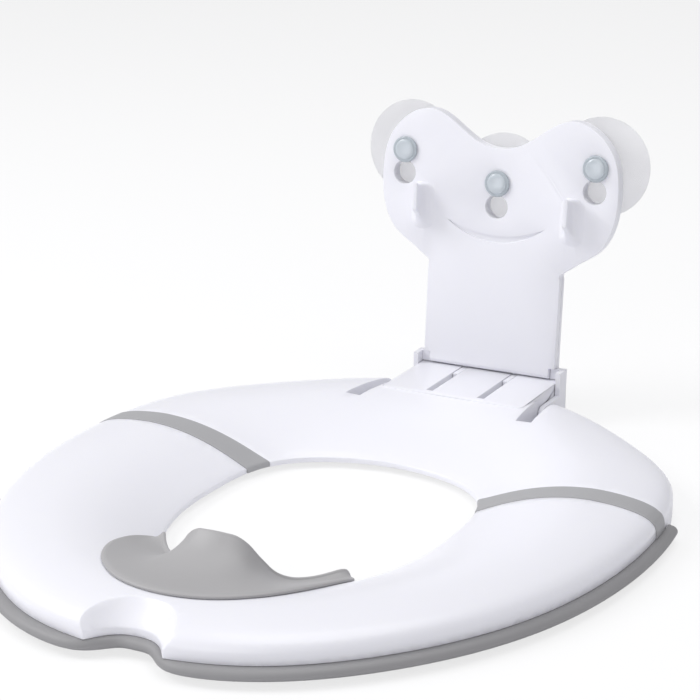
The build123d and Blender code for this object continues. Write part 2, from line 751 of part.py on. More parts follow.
# Suction cups: round head in front of the keyhole, neck through it, shallow bell behind
bell_y = board_t + part_gap
knob_profile = [(r * knob_r, -part_gap - out * (knob_dome - part_gap)) for r, out in knob_shares]
bell_front = [(r * cup_r, bell_y + deep * cup_depth) for r, deep in bell_front_shares]
bell_back = [(r * cup_r, bell_y + deep * cup_depth) for r, deep in bell_back_shares]
for name, (x, s) in knob_places.items():
    cup_centre = board_foot + board_up * s + board_x_dir * x
    with BuildPart() as cup:
        with BuildSketch(Plane(cup_centre, x_dir=board_x_dir, z_dir=board_up)):
            with BuildLine():
                Spline(*knob_profile)
                Polyline(knob_profile[-1], (knob_r, -part_gap), (neck_r, -part_gap), (neck_r, bell_y),
                         (bell_front[0][0], bell_y), bell_front[0])
                Spline(*bell_front)
                Line(bell_front[-1], bell_back[0])
                Spline(*bell_back)
                Line(bell_back[-1], knob_profile[0])
            make_face()
        revolve(axis=Axis(cup_centre, board_back))
    cup.part.label = f"suction_cup_{name}"
    export_step(cup.part, f"parts/suction_cup_{name}.step")

# Splash guard: thin saddle over the front of the opening, with a skirt down inside it
def guard_section(position, side, flange_share, top_share):
    """Upright cut through the guard, across the ring at one place along the opening."""
    before, after = int(position), min(int(position) + 1, len(station_shares) - 1)
    part_way = position - before
    edge = ring_points(0)[before] * (1 - part_way) + ring_points(0)[after] * part_way
    outer = ring_points(1)[before] * (1 - part_way) + ring_points(1)[after] * part_way
    across = outer - edge
    flange = flange_share * guard_flange
    surface = dish_height(flange / across.length)
    top = top_share * guard_peak_z
    edge_top = surface + part_gap + guard_t
    hug = dish_height(flange / across.length / 2) + part_gap + guard_t
    middle_z = hug + guard_sag_share * max(0.0, top - hug)
    out = Vector(side * across.X, across.Y).normalized()
    origin = level(0).from_local_coords(Vector(side * edge.X, edge.Y))
    inside = -part_gap - guard_t
    with BuildSketch(Plane(origin, x_dir=out, z_dir=out.cross(Vector(0, 0, 1)))) as sketch:
        with BuildLine():
            Spline((flange, edge_top), (flange / 2, middle_z), (-part_gap, top))
            Polyline((-part_gap, top), (inside, top), (inside, guard_foot_z), (-part_gap, guard_foot_z),
                     (-part_gap, top - guard_t))
            Spline((-part_gap, top - guard_t), (flange / 2, middle_z - guard_t), (flange, surface))
            Line((flange, surface), (flange, edge_top))
        make_face()
    return sketch.sketch


with BuildPart() as splash_guard:
    sections = [guard_section(place, -1, flange, top) for place, flange, top in guard_shares]
    sections += [guard_section(place, 1, flange, top) for place, flange, top in guard_shares[-2::-1]]
    loft(sections)
    add(seat_body(part_gap, -part_gap, floor=base_z - overrun), mode=Mode.SUBTRACT)
splash_guard.part.label = "splash_guard"
export_step(splash_guard.part, "parts/splash_guard.step")
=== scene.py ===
import json
import math
import bmesh
import bpy
import numpy as np
from mathutils import Matrix, Vector


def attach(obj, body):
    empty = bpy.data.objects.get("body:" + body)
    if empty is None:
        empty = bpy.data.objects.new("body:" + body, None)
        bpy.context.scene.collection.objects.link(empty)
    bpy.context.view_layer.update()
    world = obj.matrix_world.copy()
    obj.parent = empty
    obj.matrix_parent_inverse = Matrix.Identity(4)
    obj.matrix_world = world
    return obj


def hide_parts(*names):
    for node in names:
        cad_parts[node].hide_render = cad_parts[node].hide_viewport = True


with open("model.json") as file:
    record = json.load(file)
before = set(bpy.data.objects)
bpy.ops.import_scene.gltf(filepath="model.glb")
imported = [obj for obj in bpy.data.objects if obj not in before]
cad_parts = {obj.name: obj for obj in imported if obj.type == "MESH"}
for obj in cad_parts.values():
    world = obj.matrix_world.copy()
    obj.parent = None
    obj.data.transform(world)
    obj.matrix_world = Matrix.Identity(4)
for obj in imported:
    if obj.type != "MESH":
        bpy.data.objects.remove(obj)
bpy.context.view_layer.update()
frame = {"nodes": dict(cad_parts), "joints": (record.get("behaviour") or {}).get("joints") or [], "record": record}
mm = 0.001
foldY = next(j for j in frame["joints"] if j["name"] == "front_fold")["pos_m"][1] / mm
print("frame loaded, fold line at", round(foldY, 2), "mm")

# What the pieces share: sizes in mm, y measured from the fold line, z from the pads' feet
seat = {
    "halfWidth": 174.0, "frontReach": 258.5, "rearReach": 157.0,
    "openHalf": 74.5, "openFront": 173.5, "openRear": 31.5,
    "notchDepth": 17.5, "notchHalf": 17.16, "notchPower": 4, "notchBefore": -100,
}
# shares of those sizes from the rear centre to the front centre: outline x and y, opening x and y
stations = np.array([
    (0.0, 1.0, 0.0, 1.0), (0.368, 0.892, 0.443, 0.81), (0.684, 0.631, 0.779, 0.317),
    (0.92, 0.318, 0.94, -0.058), (1.0, -0.046, 0.997, -0.242), (0.989, -0.268, 0.993, -0.438),
    (0.882, -0.547, 0.879, -0.657), (0.638, -0.801, 0.617, -0.856), (0.322, -0.96, 0.302, -0.968),
    (0.0, -1.0, 0.0, -1.0)])
halvings = 40      # how often a crossing's interval is halved
crownSteps = 400   # points along the seat's smooth height line
doubles = 0.001    # points nearer than this, in mm, are one


def closedSpline(knots):
    # bends of a smooth closed curve, as weights on its own points: at each point the gaps times the bends
    # of the neighbours and twice both gaps times its own bend make six times the change of slope
    gap = np.diff(knots)
    n = len(gap)
    left, right = np.zeros((n, n)), np.zeros((n, n))
    for i in range(n):
        p, q = (i - 1) % n, (i + 1) % n
        left[i, p] += gap[p]
        left[i, i] += 2 * (gap[p] + gap[i])
        left[i, q] += gap[i]
        right[i, p] += 6 / gap[p]
        right[i, q] += 6 / gap[i]
        right[i, i] -= 6 / gap[i] + 6 / gap[p]
    return np.linalg.solve(left, right)


def stationPoints():
    # outline and opening at each station: share times size, right side first, then the mirrored left side
    ox = stations[:, 0] * seat["halfWidth"]
    oy = stations[:, 1] * np.where(stations[:, 1] > 0, seat["rearReach"], seat["frontReach"])
    ix = stations[:, 2] * seat["openHalf"]
    iy = stations[:, 3] * np.where(stations[:, 3] > 0, seat["openRear"], seat["openFront"])
    right = np.stack([ox, oy, ix, iy], 1)
    leftSide = right[-2:0:-1] * np.array([-1, 1, -1, 1])
    return np.vstack([right, leftSide])


ringPts = stationPoints()
hops = np.linalg.norm(np.diff(np.vstack([ringPts, ringPts[:1]])[:, :2], axis=0), axis=1)
knots = np.concatenate([[0], np.cumsum(hops)])
bend = closedSpline(knots)


def aroundWeights(t):
    # weights of the stations at t, where 0 and 1 are the rear centre and 0.5 is the front centre: a
    # straight mix of the two nearest stations, plus the cubic share of their bends
    u = np.mod(t, 1.0) * knots[-1]
    i = np.clip(np.searchsorted(knots, u, side="right") - 1, 0, len(hops) - 1)
    h = hops[i]
    b = (u - knots[i]) / h
    a = 1 - b
    eye = np.eye(len(hops))
    j = (i + 1) % len(hops)
    low = a[..., None] * eye[i] + b[..., None] * eye[j]
    curve = ((a ** 3 - a) * h * h / 6)[..., None] * bend[i]
    return low + curve + ((b ** 3 - b) * h * h / 6)[..., None] * bend[j]


def around(t):
    # opening point, outward direction and ring width at t, from the mixed outline and opening points
    mixed = aroundWeights(t) @ ringPts
    outer, inner = mixed[..., :2], mixed[..., 2:]
    across = outer - inner
    width = np.linalg.norm(across, axis=-1)
    return inner, across / width[..., None], width


def smoothLine(keys, count):
    # smooth curve through the rows of keys, evenly shared samples: a cubic whose slope at each key is
    # half the step between the key's neighbours
    k = np.asarray(keys, float)
    ext = np.vstack([2 * k[0] - k[1], k, 2 * k[-1] - k[-2]])
    s = np.linspace(0, len(k) - 1, count)
    i = np.minimum(s.astype(int), len(k) - 2)
    f = (s - i)[:, None]
    p0, p1, p2, p3 = ext[i], ext[i + 1], ext[i + 2], ext[i + 3]
    square, cube = 2 * p0 - 5 * p1 + 4 * p2 - p3, 3 * p1 - p0 - 3 * p2 + p3
    return 0.5 * (2 * p1 + (p2 - p0) * f + square * f ** 2 + cube * f ** 3)


def notchPull(x):
    # how far the finger notch pulls the front edge in: a bell, its depth over one plus a power of x
    return seat["notchDepth"] / (1 + (np.abs(x) / seat["notchHalf"]) ** seat["notchPower"])


def gridMesh(name, pts, closeU=False, closeV=False):
    # joins a grid of points (rows, columns, 3) in mm into a quad surface in metres
    rows, cols = pts.shape[:2]
    idx = np.arange(rows * cols).reshape(rows, cols)
    a = idx if closeU else idx[:-1]
    b = np.roll(idx, -1, 0) if closeU else idx[1:]
    quads = np.stack([a, b, np.roll(b, -1, 1), np.roll(a, -1, 1)], -1)
    quads = (quads if closeV else quads[:, :-1]).reshape(-1, 4)
    place = pts.reshape(-1, 3) * mm + np.array([0, foldY * mm, 0])
    mesh = bpy.data.meshes.new(name)
    mesh.from_pydata(place.tolist(), [], quads.tolist())
    mesh.update()
    obj = bpy.data.objects.new(name, mesh)
    bpy.context.scene.collection.objects.link(obj)
    return obj


def crossing(share, offset, y, low, high):
    # t at which each profile line of the ring crosses y, found by halving the interval
    def height(t):
        inner, way, width = around(t)
        return inner[..., 1] + way[..., 1] * (share * width + offset)

    lo, hi = np.full(share.shape, low), np.full(share.shape, high)
    rising = height(lo) < y
    for _ in range(halvings):
        mid = (lo + hi) / 2
        past = (height(mid) < y) == rising
        lo, hi = np.where(past, mid, lo), np.where(past, hi, mid)
    return (lo + hi) / 2


# height of the seat's surface by the share of the way from the opening to the outline
crownKeys = np.array([
    (0, 6.5), (0.03, 8.03), (0.06, 9.52), (0.1, 11.44), (0.16, 14.22), (0.23, 17.05), (0.31, 19.78),
    (0.39, 21.9), (0.47, 23.5), (0.55, 24.5), (0.63, 25.0), (0.71, 24.75), (0.79, 24.02), (0.86, 22.93),
    (0.93, 20.98), (0.978, 18.1), (0.992, 16.2), (1.0, 13.5)])
crownLine = smoothLine(crownKeys, crownSteps)


def crownAt(share):
    # height at a share, straight between close points of the smooth line
    return np.interp(share, crownLine[:, 0], crownLine[:, 1])


# what all finishes share: cloud in the colour, uneven gloss and moulding grain
moulding = {
    "cloudScale": 18.0, "cloudDetail": 4.0, "glossScale": 60.0, "glossDetail": 5.0,
    "grainScale": 1400.0, "grainDetail": 2.0, "grainDepth": 0.0001, "grain": 0.05,
    "glowReach": (0.004, 0.004, 0.005), "coatRough": 0.18, "specular": 0.5, "ior": 1.46,
}


def noise(nodes, links, coord, kind):
    # one of the three clouds, as a share from 0 to 1
    tex = nodes.new("ShaderNodeTexNoise")
    tex.inputs["Scale"].default_value = moulding[kind + "Scale"]
    tex.inputs["Detail"].default_value = moulding[kind + "Detail"]
    links.new(coord, tex.inputs["Vector"])
    return tex.outputs["Fac"]


def finish(name, look):
    # plastic or rubber: slight cloud in the colour, fine moulding grain, uneven gloss
    mat = bpy.data.materials.new(name)
    mat.use_nodes = True
    nodes, links = mat.node_tree.nodes, mat.node_tree.links
    shader = nodes["Principled BSDF"]
    coord = nodes.new("ShaderNodeTexCoord").outputs["Object"]
    cloud = noise(nodes, links, coord, "cloud")
    tone = nodes.new("ShaderNodeMix")
    tone.data_type = "RGBA"
    links.new(cloud, tone.inputs["Factor"])
    tone.inputs[6].default_value = (*look["colour"], 1)
    tone.inputs[7].default_value = (*look["shade"], 1)
    links.new(tone.outputs[2], shader.inputs["Base Color"])
    gloss = nodes.new("ShaderNodeMapRange")
    gloss.inputs["To Min"].default_value = look["rough"][0]
    gloss.inputs["To Max"].default_value = look["rough"][1]
    links.new(noise(nodes, links, coord, "gloss"), gloss.inputs["Value"])
    links.new(gloss.outputs["Result"], shader.inputs["Roughness"])
    grain = nodes.new("ShaderNodeBump")
    grain.inputs["Strength"].default_value = look.get("grain", moulding["grain"])
    grain.inputs["Distance"].default_value = moulding["grainDepth"]
    links.new(noise(nodes, links, coord, "grain"), grain.inputs["Height"])
    links.new(grain.outputs["Normal"], shader.inputs["Normal"])
    shader.inputs["Metallic"].default_value = look.get("metal", 0.0)
    shader.inputs["Specular IOR Level"].default_value = moulding["specular"]
    shader.inputs["Subsurface Weight"].default_value = look.get("glow", 0.0)
    shader.inputs["Subsurface Radius"].default_value = moulding["glowReach"]
    shader.inputs["Coat Weight"].default_value = look.get("coat", 0.0)
    shader.inputs["Coat Roughness"].default_value = moulding["coatRough"]
    shader.inputs["Transmission Weight"].default_value = look.get("clear", 0.0)
    shader.inputs["IOR"].default_value = look.get("ior", moulding["ior"])
    return mat


looks = {
    "whiteShell": {"colour": (0.84, 0.84, 0.885), "shade": (0.82, 0.82, 0.87), "rough": (0.3, 0.38),
                   "coat": 0.15, "glow": 0.08},
    "whiteTray": {"colour": (0.72, 0.72, 0.76), "shade": (0.69, 0.69, 0.73), "rough": (0.45, 0.55),
                  "grain": 0.15},
    "greyStrip": {"colour": (0.40, 0.40, 0.41), "shade": (0.36, 0.36, 0.37), "rough": (0.5, 0.62),
                  "grain": 0.2},
    "greyLip": {"colour": (0.3, 0.297, 0.303), "shade": (0.27, 0.267, 0.273), "rough": (0.48, 0.6),
                "grain": 0.2},
    "greyGuard": {"colour": (0.41, 0.405, 0.41), "shade": (0.38, 0.375, 0.38), "rough": (0.42, 0.52),
                  "grain": 0.12, "glow": 0.05},
    "darkPad": {"colour": (0.1, 0.1, 0.105), "shade": (0.08, 0.08, 0.085), "rough": (0.7, 0.8),
                "grain": 0.4},
    "steel": {"colour": (0.62, 0.62, 0.64), "shade": (0.55, 0.55, 0.57), "rough": (0.28, 0.4), "metal": 1.0},
    "clearCup": {"colour": (0.93, 0.93, 0.94), "shade": (0.9, 0.9, 0.915), "rough": (0.16, 0.26),
                 "clear": 0.78, "ior": 1.42, "grain": 0.02},
    "knobDisc": {"colour": (0.68, 0.73, 0.775), "shade": (0.64, 0.7, 0.745), "rough": (0.1, 0.18),
                 "clear": 0.25, "ior": 1.42, "grain": 0.02, "coat": 0.4},
    # the knob head's rim: darker than its disc, painted shade for the shadowed gap round the head's edge
    "knobRimPaintedShade": {"colour": (0.6, 0.65, 0.69), "shade": (0.54, 0.6, 0.65), "rough": (0.12, 0.2),
                "clear": 0.3, "ior": 1.42, "grain": 0.02},
}
finishes = {name: finish(name, look) for name, look in looks.items()}
slotLooks = {
    "white_shell": "whiteShell", "tray_plastic": "whiteTray", "strip_rubber": "greyStrip",
    "lip_rubber": "greyLip", "guard_rubber": "greyGuard", "pad_rubber": "darkPad", "steel": "steel",
    "clear_cup": "clearCup",
}
for part in frame["record"]["subparts"]:
    node = frame["nodes"][part["node"]]
    for place in node.material_slots:
        place.material = finishes[slotLooks[part["material_slot"]]]
print("finishes ready")


def dress(obj, look, body, node):
    # finish and slot of a piece, the body it rides on and the CAD node it stands in for
    obj.data.materials.append(finishes[look])
    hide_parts(node)
    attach(obj, body)
    return obj


# Moulded shells from the CAD: welded, their hard corners rounded, then shaded smooth
shells = {
    "weld": 0.01, "softAngle": 38, "smoothAngle": 32, "steps": 2,
    "soft": {"rear_cover": 0.5, "front_cover": 0.5, "board_front": 0.4},
}


def smoothGroup():
    # shades smooth everywhere but across edges sharper than the limit
    group = bpy.data.node_groups.new("smoothByAngle", "GeometryNodeTree")
    for way in ("INPUT", "OUTPUT"):
        group.interface.new_socket("Geometry", in_out=way, socket_type="NodeSocketGeometry")
    start, end = group.nodes.new("NodeGroupInput"), group.nodes.new("NodeGroupOutput")
    angle = group.nodes.new("GeometryNodeInputMeshEdgeAngle")
    flat = group.nodes.new("FunctionNodeCompare")
    flat.operation = "LESS_THAN"
    flat.inputs[1].default_value = math.radians(shells["smoothAngle"])
    faces = group.nodes.new("GeometryNodeSetShadeSmooth")
    edges = group.nodes.new("GeometryNodeSetShadeSmooth")
    edges.domain = "EDGE"
    group.links.new(start.outputs[0], faces.inputs["Geometry"])
    group.links.new(faces.outputs[0], edges.inputs["Geometry"])
    group.links.new(angle.outputs["Unsigned Angle"], flat.inputs[0])
    group.links.new(flat.outputs[0], edges.inputs["Shade Smooth"])
    group.links.new(edges.outputs[0], end.inputs[0])
    return group


smoothing = smoothGroup()
for nodeName, node in frame["nodes"].items():
    node.modifiers.new("weld", "WELD").merge_threshold = shells["weld"] * mm
    if nodeName in shells["soft"]:
        edge = node.modifiers.new("edge", "BEVEL")
        edge.width, edge.segments = shells["soft"][nodeName] * mm, shells["steps"]
        edge.limit_method, edge.angle_limit = "ANGLE", math.radians(shells["softAngle"])
        edge.use_clamp_overlap = False
    node.modifiers.new("smooth", "NODES").node_group = smoothing
print("shells softened")

# Stage: floor, soft lights and the photograph's view
stageSet = {
    "floorSize": 30.0, "floorColour": (0.93, 0.93, 0.945, 1), "floorRough": 0.9, "clear": 0.75,
    "sky": (0.97, 0.97, 1.0, 1), "skyPower": 0.47, "seen": (1, 1, 1, 1), "seenPower": 1.0,
}


def makeStage():
    bpy.ops.mesh.primitive_plane_add(size=stageSet["floorSize"])
    floor = bpy.context.object
    floor.name = "floor"
    mat = bpy.data.materials.new("floorPaper")
    mat.use_nodes = True
    nodes, links = mat.node_tree.nodes, mat.node_tree.links
    paper = nodes["Principled BSDF"]
    paper.inputs["Base Color"].default_value = stageSet["floorColour"]
    paper.inputs["Roughness"].default_value = stageSet["floorRough"]
    # mostly clear to the camera, which sees the white world through it, also a half folded below the floor
    glass = nodes.new("ShaderNodeBsdfTransparent")
    path = nodes.new("ShaderNodeLightPath")
    share = nodes.new("ShaderNodeMath")
    share.operation = "MULTIPLY"
    share.inputs[1].default_value = stageSet["clear"]
    links.new(path.outputs["Is Camera Ray"], share.inputs[0])
    mix = nodes.new("ShaderNodeMixShader")
    links.new(share.outputs[0], mix.inputs["Fac"])
    links.new(paper.outputs["BSDF"], mix.inputs[1])
    links.new(glass.outputs["BSDF"], mix.inputs[2])
    links.new(mix.outputs["Shader"], nodes["Material Output"].inputs["Surface"])
    floor.data.materials.append(mat)


def makeWorld():
    # even pale light on the object, plain white where the camera or a clear cup looks past it
    world = bpy.data.worlds.new("studio")
    bpy.context.scene.world = world
    world.use_nodes = True
    nodes, links = world.node_tree.nodes, world.node_tree.links
    soft = nodes["Background"]
    soft.inputs["Color"].default_value = stageSet["sky"]
    soft.inputs["Strength"].default_value = stageSet["skyPower"]
    white = nodes.new("ShaderNodeBackground")
    white.inputs["Color"].default_value = stageSet["seen"]
    white.inputs["Strength"].default_value = stageSet["seenPower"]
    path = nodes.new("ShaderNodeLightPath")
    seen = nodes.new("ShaderNodeMath")
    seen.operation = "MAXIMUM"
    links.new(path.outputs["Is Camera Ray"], seen.inputs[0])
    links.new(path.outputs["Is Transmission Ray"], seen.inputs[1])
    mix = nodes.new("ShaderNodeMixShader")
    links.new(seen.outputs[0], mix.inputs["Fac"])
    links.new(soft.outputs["Background"], mix.inputs[1])
    links.new(white.outputs["Background"], mix.inputs[2])
    links.new(mix.outputs["Shader"], nodes["World Output"].inputs["Surface"])


# soft boxes: place and target in metres, width and height, power in watts
lamps = {
    "keyLamp": {"place": (-1.4, -0.6, 1.35), "target": (0, 0, 0.05), "size": (0.9, 0.9), "power": 19.0},
    "fillLamp": {"place": (0.1, -1.8, 0.7), "target": (0, 0, 0.1), "size": (1.2, 0.8), "power": 4.8},
    "topLamp": {"place": (0.2, 0.1, 1.8), "target": (0, 0, 0.02), "size": (1.4, 1.2), "power": 12.5},
}


def addLamp(name, place, target, size, power):
    lamp = bpy.data.lights.new(name, "AREA")
    lamp.shape, lamp.size, lamp.size_y = "RECTANGLE", *size
    lamp.energy = power
    obj = bpy.data.objects.new(name, lamp)
    bpy.context.scene.collection.objects.link(obj)
    obj.location = place
    obj.rotation_euler = (Vector(target) - Vector(place)).to_track_quat("-Z", "Y").to_euler()


# the photograph's camera: angles in degrees, lens in pixels of its width, distance and target in mm
view = {
    "azimuth": 27.01, "elevation": 17.01, "roll": 0.23, "focalPx": 2088.89, "widthPx": 700,
    "sensor": 36.0, "distance": 1166.23, "target": (-13.88, 0.0, 81.91),
}


def makeCamera():
    # looks back along a line at the azimuth and elevation, then rolls about it
    az, el, roll = (math.radians(view[k]) for k in ("azimuth", "elevation", "roll"))
    back = Vector((math.sin(az) * math.cos(el), -math.cos(az) * math.cos(el), math.sin(el)))
    side = (-back).cross(Vector((0, 0, 1))).normalized()
    top = side.cross(-back)
    x = side * math.cos(roll) + top * math.sin(roll)
    y = -side * math.sin(roll) + top * math.cos(roll)
    cam = bpy.data.cameras.new("photoView")
    cam.sensor_width = view["sensor"]
    cam.lens = view["focalPx"] / view["widthPx"] * view["sensor"]
    obj = bpy.data.objects.new("photoView", cam)
    bpy.context.scene.collection.objects.link(obj)
    target = Vector(view["target"]) + Vector((0, foldY, 0))
    pose = Matrix((x, y, back)).transposed().to_4x4()
    pose.translation = (target + back * view["distance"]) * mm
    obj.matrix_world = pose
    bpy.context.scene.camera = obj


makeStage()
makeWorld()
for name, lamp in lamps.items():
    addLamp(name, **lamp)
makeCamera()
print("stage ready")

limbSpan = {1: (0.02, 0.48), -1: (0.52, 0.98)}   # from rear to front, right and left


def ringRow(profile, y, side):
    # one line of a profile where the ring crosses y, on the right (1) or the left (-1): the opening's
    # point plus the outward direction times the profile's share of the ring's width
    share, z = profile[:, 0], profile[:, 1]
    t = crossing(share, 0 * share, y, *limbSpan[side])
    inner, way, width = around(t)
    xy = inner + way * (share * width)[:, None]
    return np.concatenate([xy, z[:, None]], 1)


def closedTube(name, pts, sharp):
    # a grid whose columns close into a loop, with both of its ends capped
    rows, cols = pts.shape[:2]
    obj = gridMesh(name, pts, closeV=True)
    mesh = obj.data
    faces = [tuple(p.vertices) for p in mesh.polygons]
    place = np.empty(len(mesh.vertices) * 3)
    mesh.vertices.foreach_get("co", place)
    mesh.clear_geometry()
    faces += [tuple(range(cols))[::-1], tuple(range((rows - 1) * cols, rows * cols))]
    mesh.from_pydata(place.reshape(-1, 3).tolist(), [], faces)
    mesh.update()
    return recalc(obj, sharp)


# Seam strips: soft straps that hug both limbs, a little proud, with rounded edges
strips = {
    "rise": 0.5, "depth": 1.5, "edge": 0.4, "round": 0.3, "front": -16.1, "back": -0.15, "limb": 99.3,
    "along": 120, "across": 8, "sharp": 50,
    "inside": [(0, 4.0), (0, 5.3), (0.25, 6.5), (1.3, 7.3)],   # up the opening's wall, mm across and up
    "shares": [0.965, 0.985, 0.996], "outside": [12.6, 11.2, 9.5],   # over the shoulder, then down
}


def makeStrip(side, name):
    # the ring's profile, pushed out along its own normal by a lift, for each line across the strap
    limb = strips["limb"]
    shares = np.concatenate([np.linspace(0.04, 0.94, 20), strips["shares"]])
    keys = strips["inside"] + [(v * limb, crownAt(v)) for v in shares]
    keys += [(limb, z) for z in strips["outside"]]
    line = smoothLine(np.array(keys), strips["along"])
    way = np.gradient(line, axis=0)
    normal = np.stack([-way[:, 1], way[:, 0]], 1) / np.linalg.norm(way, axis=1)[:, None]
    back, front, edge, rise, depth = (strips[k] for k in ("back", "front", "edge", "rise", "depth"))
    corner = strips["round"] * edge
    loop = [(front, -depth), (front, rise - edge), (front + corner, rise - corner), (front + edge, rise)]
    loop += [(y, rise) for y in np.linspace(front + 1, back - 1, strips["across"])]
    loop += [(back - edge, rise), (back - corner, rise - corner), (back, rise - edge), (back, -depth)]
    loop += [(y, -depth - 0.05) for y in np.linspace(back - 1, front + 1, strips["across"] // 2)]
    columns = []
    for y, lift in loop:
        place = line + normal * lift
        columns.append(ringRow(place / (limb, 1), y, side))
    obj = closedTube(name, np.stack(columns, 1), strips["sharp"])
    side = "left" if side < 0 else "right"
    return dress(obj, "greyStrip", "front_seat", "seam_strip_" + side)


def recalc(obj, sharp):
    # welds doubles, turns faces outwards and marks hard corners
    bm = bmesh.new()
    bm.from_mesh(obj.data)
    bmesh.ops.remove_doubles(bm, verts=bm.verts, dist=doubles * mm)
    bmesh.ops.recalc_face_normals(bm, faces=bm.faces)
    bm.to_mesh(obj.data)
    bm.free()
    obj.data.polygons.foreach_set("use_smooth", np.full(len(obj.data.polygons), True))
    obj.data.set_sharp_from_angle(angle=math.radians(sharp))
    return obj


for side, name in ((-1, "seamStripLeft"), (1, "seamStripRight")):
    makeStrip(side, name)
print("seam strips")

# Front lip: bulging band round the front half, through the notch, with round ends past the fold
lip = {
    "past": 9.9, "count": 700, "around": 30, "round": 3.4, "midZ": 6.4, "root": 3.6, "thin": 0.7,
    "turn": 0.6, "least": 0.0004, "sharp": 50,
    # section from the root under the cover, out round the bulge and back: mm out and up
    "section": [(-2.5, 3.5), (1.0, 3.5), (3.4, 3.55), (5.2, 4.1), (6.3, 5.3), (6.5, 6.6), (5.9, 7.9),
                (4.6, 8.9), (2.9, 9.3), (0.5, 9.3), (-2.5, 9.3)],
    "start": [0, 0.0006, 0.0015, 0.003, 0.005], "even": (0.008, 0.992),
    "stop": [0.995, 0.997, 0.9985, 0.9994, 1],
}


def makeLip():
    # the section carried round the outline from end to end: it thins past the fold, and near each end
    # its size shrinks as a quarter circle does
    loop = smoothLine(np.array(lip["section"]), lip["around"])[:-1]
    share, offset = np.ones(len(loop)), loop[:, 0]
    t0 = crossing(share, offset, lip["past"], *limbSpan[1])
    t1 = crossing(share, offset, lip["past"], *limbSpan[-1])
    s = np.linspace(0, 1, lip["count"])
    low, high = lip["even"]
    s = np.concatenate([lip["start"], s[(s > low) & (s < high)], lip["stop"]])[:, None]
    t = t0[None] + (t1 - t0)[None] * s
    inner, way, width = around(t)
    y = inner[..., 1] + way[..., 1] * (width + offset)
    past = np.clip((y + lip["turn"]) / lip["turn"], 0, 1)
    inset = offset[None] + past * np.clip(lip["thin"] - offset[None], 0, None)
    along = np.clip(np.abs(lip["past"] - y) / lip["round"], 0, 1)
    squeeze = np.sqrt(np.clip(1 - (1 - along) ** 2, lip["least"], 1))
    inset = lip["root"] + (inset - lip["root"]) * squeeze
    z = lip["midZ"] + (loop[:, 1] - lip["midZ"])[None] * squeeze
    edge = inner[..., 0] + way[..., 0] * width
    reach = width + inset - notchPull(edge) * (inner[..., 1] < seat["notchBefore"])
    xy = inner + way * reach[..., None]
    pts = np.concatenate([xy, z[..., None]], -1)
    obj = closedTube("frontLip", pts, lip["sharp"])
    return dress(obj, "greyLip", "front_seat", "front_lip")


makeLip()
print("front lip")

# Splash guard: a flange that hugs the seat, a wavy edge over the opening, a skirt down inside it
guard = {
    "thick": 2.2, "foot": 4.6, "along": 260, "gap": 0.35, "sweep": 3.0, "edgeShare": 0.35, "edgeRun": 1.1,
    "rim": 0.45, "heel": 0.4, "inner": 1.3, "sharp": 60,
    "across": 40, "rimSteps": 11, "skirtSteps": 16, "heelSteps": 7, "insideSteps": 8,
}
# place among the stations, flange width and height of the wavy edge in mm, from a tip to the middle
guardKeys = [
    (6.56, 0.6, 9.2), (6.565, 2.4, 10.6), (6.585, 4.8, 12.0), (6.62, 7.2, 13.0), (6.7, 10.8, 13.5),
    (6.82, 15.4, 13.2), (7.0, 21.5, 12.7), (7.25, 29.0, 12.7), (7.5, 35.5, 13.8), (7.75, 41.2, 17.4),
    (8.0, 45.8, 24.9), (8.25, 49.2, 31.6), (8.5, 51.4, 35.3), (8.75, 52.6, 36.3), (9.0, 53.0, 36.6)]
middle = 9   # the front centre among the stations


